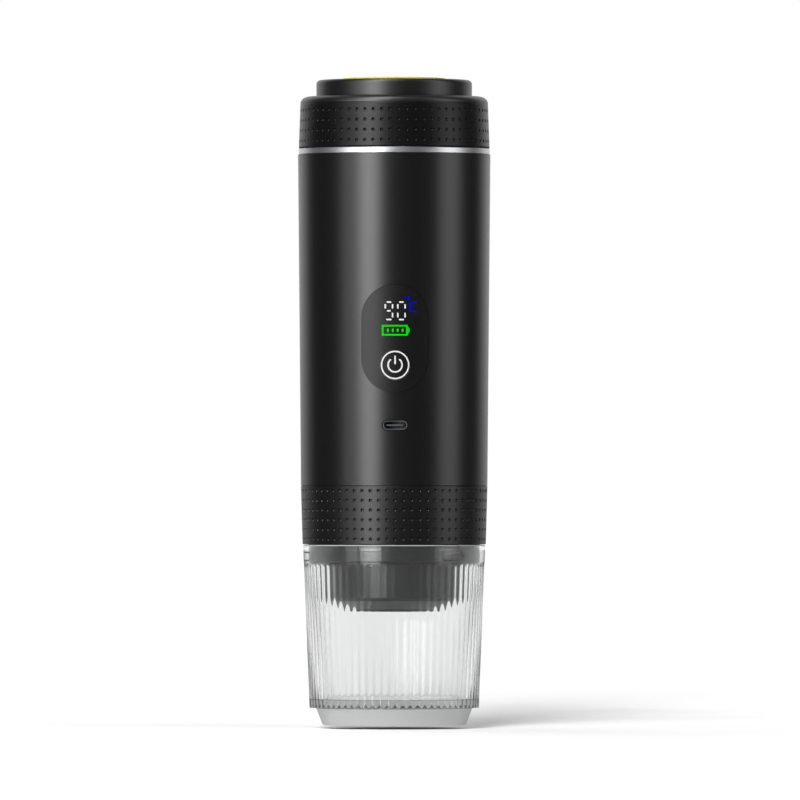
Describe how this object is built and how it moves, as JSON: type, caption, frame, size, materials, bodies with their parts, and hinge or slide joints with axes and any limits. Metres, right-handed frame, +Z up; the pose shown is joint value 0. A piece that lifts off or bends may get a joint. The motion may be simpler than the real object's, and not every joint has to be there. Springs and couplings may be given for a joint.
{
  "type": "portable espresso maker",
  "caption": "Upright battery espresso maker: black body with a lit panel, screw lid over a water tank, dotted grips, and a ribbed clear cup pushed onto the brew head.",
  "frame": {"origin": "centre of the cup's foot, on the table", "axes": "+Z up along the body's axis, -Y out of the display panel, +X to the right of a person facing the panel"},
  "size_m": [0.071, 0.071, 0.239],
  "materials": {
    "shell_black": "satin",
    "lid_black": "satin",
    "grip_black": "fine grain",
    "head_black": "satin",
    "inner_black": "matt",
    "panel_gloss": "polished",
    "light_white": "diffusing",
    "trim_chrome": "bright",
    "port_steel": "plated",
    "inlay_yellow": "satin",
    "cup_clear": "clear, ribbed",
    "steel": "brushed",
    "aluminium": "plain",
    "motor_can": "zinc plated",
    "cell_wrap": "film wrapped",
    "board_green": "solder mask",
    "pump_ivory": "moulded",
    "seal_red": "matt",
    "silicone_white": "matt",
    "rubber_black": "matt",
    "pad_grey": "felted",
    "sensor_black": "epoxy"
  },
  "bodies": {
    "housing": {"outer_shell": "shell_black", "trim_ring": "trim_chrome", "display_panel": "panel_gloss", "button_ring": "light_white", "display_module": "light_white", "main_board": "board_green", "tact_switch": "inner_black", "usb_port": "port_steel", "usb_tongue": "inner_black", "group_head": "inner_black", "shower_plate": "steel", "shower_screw": "steel", "check_valve": "silicone_white", "pump_damper": "rubber_black", "pump_body": "pump_ivory", "pump_cover": "pump_ivory", "pump_screws": "steel", "idler_pin": "steel", "shaft_seal": "rubber_black", "outlet_seal": "seal_red", "inlet_elbow": "inner_black", "inlet_hose": "silicone_white", "motor_bracket": "aluminium", "pump_motor": "motor_can", "frame_posts": "aluminium", "frame_screws": "steel", "top_plate": "inner_black", "battery_cells": "cell_wrap", "tray_lower": "inner_black", "tray_upper": "inner_black", "heater_pad": "pad_grey", "heater_plate": "aluminium", "temp_sensor": "sensor_black", "water_tank": "steel", "tank_outlet": "steel", "tank_seal": "seal_red", "tank_collar": "inner_black"},
    "power_button": {"power_button": "panel_gloss", "switch_plunger": "inner_black"},
    "pump_drive": {"drive_shaft": "steel", "drive_gear": "pump_ivory"},
    "pump_idler": {"idler_gear": "pump_ivory"},
    "lid_gasket": {"lid_gasket": "seal_red"},
    "lid": {"lid_shell": "lid_black", "lid_grip": "grip_black", "lid_liner": "inner_black", "lid_cap": "lid_black", "lid_inlay": "inlay_yellow", "vent_valve": "silicone_white"},
    "basket_gasket": {"basket_gasket": "seal_red"},
    "brew_head": {"brew_collar": "head_black", "head_grip": "grip_black", "brew_chamber": "head_black", "filter_basket": "steel", "spout_valve": "silicone_white", "spout_cap": "head_black"},
    "cup": {"cup": "cup_clear"}
  },
  "joints": [
    {"name": "lid_lift", "type": "slide", "parent": "housing", "child": "lid_gasket", "axis": [0, 0, 1], "range_m": [0, 0.0122]},
    {"name": "lid_turn", "type": "hinge", "parent": "lid_gasket", "child": "lid", "pos_m": [0, 0, 0.2225], "axis": [0, 0, 1], "range_deg": [0, 540]},
    {"name": "head_drop", "type": "slide", "parent": "housing", "child": "basket_gasket", "axis": [0, 0, -1], "range_m": [0, 0.0137]},
    {"name": "head_turn", "type": "hinge", "parent": "basket_gasket", "child": "brew_head", "pos_m": [0, 0, 0.0845], "axis": [0, 0, -1], "range_deg": [0, 540]},
    {"name": "cup_pull", "type": "slide", "parent": "brew_head", "child": "cup", "axis": [0, 0, -1], "range_m": [0, 0.07]},
    {"name": "button_press", "type": "slide", "parent": "housing", "child": "power_button", "axis": [0, 1, 0], "range_m": [0, 0.0005], "stiffness_N_per_m": 300, "springref_m": -0.001},
    {"name": "pump_spin", "type": "hinge", "parent": "housing", "child": "pump_drive", "pos_m": [0, -0.00402, 0.11], "axis": [0, 0, 1], "continuous": true},
    {"name": "idler_spin", "type": "hinge", "parent": "housing", "child": "pump_idler", "pos_m": [0, -0.01493, 0.11], "axis": [0, 0, 1], "continuous": true}
  ],
  "couplings": [
    {"joint": "lid_lift", "follows": "lid_turn", "m_per_rad": 0.0012732},
    {"joint": "head_drop", "follows": "head_turn", "m_per_rad": 0.0014324},
    {"joint": "idler_spin", "follows": "pump_spin", "ratio": -1}
  ]
}
